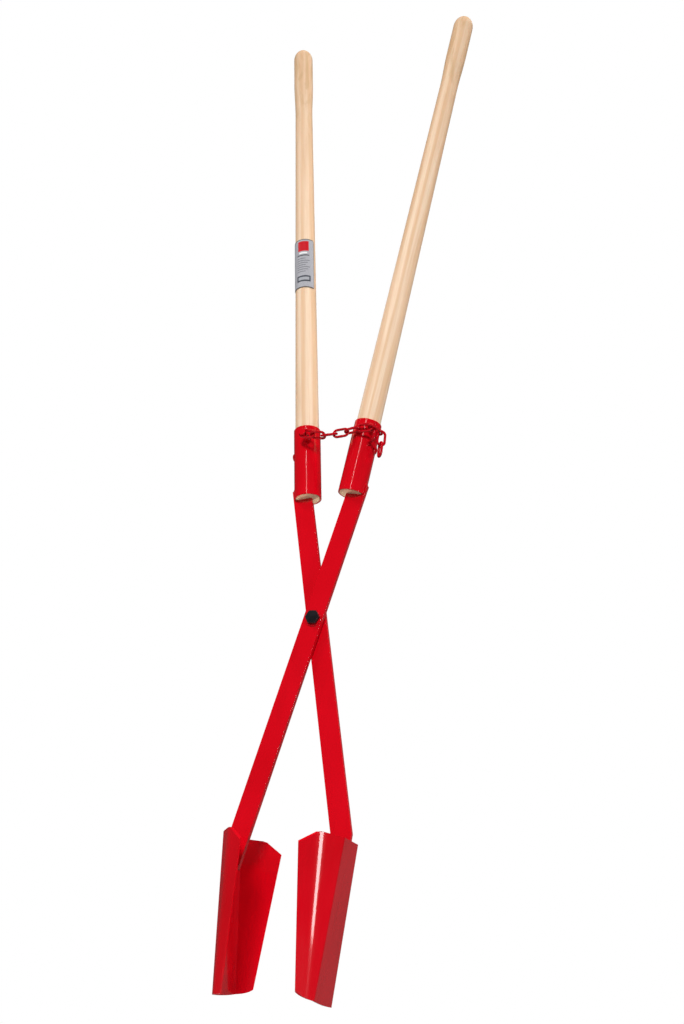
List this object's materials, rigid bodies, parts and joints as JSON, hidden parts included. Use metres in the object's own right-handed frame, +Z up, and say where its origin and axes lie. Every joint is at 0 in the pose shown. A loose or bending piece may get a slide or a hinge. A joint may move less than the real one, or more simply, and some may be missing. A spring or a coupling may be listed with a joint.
{
  "type": "post hole digger",
  "caption": "Scissor-type post hole digger: crossed flat steel arms on a pivot bolt, folded sheet blades, wooden handles in tubular sockets and a short chain that limits how far they open.",
  "frame": {"origin": "centre of the bounding box's bottom: under the middle of the tool, level with the blade tips", "axes": "+Z up along the tool, X across the spread of the handles, the pivot bolt along Y with its head at -Y, the front"},
  "size_m": [0.3474, 0.1494, 1.666],
  "materials": {
    "paint": "gloss red paint on steel",
    "wood": "clear lacquer on pale straight-grained wood",
    "bolt": "black oxide with a little wear",
    "zinc": "dull zinc plate",
    "label": "printed paper film"
  },
  "bodies": {
    "rear_arm": {"rear_arm_bar": "paint", "left_socket": "paint", "right_blade": "paint", "left_handle": "wood", "left_handle_screw": "paint", "chain_anchor_bolt": "paint", "chain_anchor_sleeve": "paint", "handle_label": "label", "pivot_bolt": "bolt", "pivot_nut": "bolt", "pivot_front_washer": "paint", "pivot_middle_washer": "zinc", "pivot_rear_washer": "zinc"},
    "front_arm": {"front_arm_bar": "paint", "right_socket": "paint", "left_blade": "paint", "right_handle": "wood", "right_handle_screw": "paint", "chain_hook": "paint", "chain_link_6": "paint", "chain_link_7": "paint"},
    "chain_link_1": {"chain_link_1": "paint"},
    "chain_link_2": {"chain_link_2": "paint"},
    "chain_link_3": {"chain_link_3": "paint"},
    "chain_link_4": {"chain_link_4": "paint"},
    "chain_link_5": {"chain_link_5": "paint"},
    "chain_link_8": {"chain_link_8": "paint"},
    "chain_link_9": {"chain_link_9": "paint"}
  },
  "joints": [
    {"name": "pivot", "type": "hinge", "parent": "rear_arm", "child": "front_arm", "pos_m": [0, 0, 0.5238], "axis": [0, -1, 0], "range_deg": [0, 9]},
    {"name": "chain_link_1_turn", "type": "hinge", "parent": "rear_arm", "child": "chain_link_1", "pos_m": [-0.042, -0.0348, 0.8198], "axis": [0, 1, 0], "range_deg": [0, 71.81]},
    {"name": "chain_link_2_turn", "type": "hinge", "parent": "chain_link_1", "child": "chain_link_2", "pos_m": [-0.03012, -0.0348, 0.81701], "axis": [0, 1, 0], "range_deg": [-56.01, 0]},
    {"name": "chain_link_3_turn", "type": "hinge", "parent": "chain_link_2", "child": "chain_link_3", "pos_m": [-0.00758, -0.0348, 0.81356], "axis": [0, 1, 0], "range_deg": [0, 4.56]},
    {"name": "chain_link_5_turn", "type": "hinge", "parent": "front_arm", "child": "chain_link_5", "pos_m": [0.05288, -0.0348, 0.82195], "axis": [0, 1, 0], "range_deg": [-61.24, 0]},
    {"name": "chain_link_4_turn", "type": "hinge", "parent": "chain_link_5", "child": "chain_link_4", "pos_m": [0.02661, -0.0348, 0.81618], "axis": [0, 1, 0], "range_deg": [-5.31, 0]},
    {"name": "chain_link_8_swing", "type": "hinge", "parent": "front_arm", "child": "chain_link_8", "pos_m": [0.08345, -0.02383, 0.81336], "axis": [-0.6428, 0.766, 0], "range_deg": [-25, 3]},
    {"name": "chain_link_9_swing", "type": "hinge", "parent": "chain_link_8", "child": "chain_link_9", "pos_m": [0.08345, -0.02383, 0.79416], "axis": [0.766, 0.6428, 0], "range_deg": [-20, 20]}
  ],
  "couplings": [
    {"joint": "chain_link_1_turn", "follows": "pivot", "ratio": 7.9778},
    {"joint": "chain_link_2_turn", "follows": "pivot", "ratio": -6.2222},
    {"joint": "chain_link_3_turn", "follows": "pivot", "ratio": 0.5056},
    {"joint": "chain_link_5_turn", "follows": "pivot", "ratio": -6.8033},
    {"joint": "chain_link_4_turn", "follows": "pivot", "ratio": -0.5889}
  ]
}
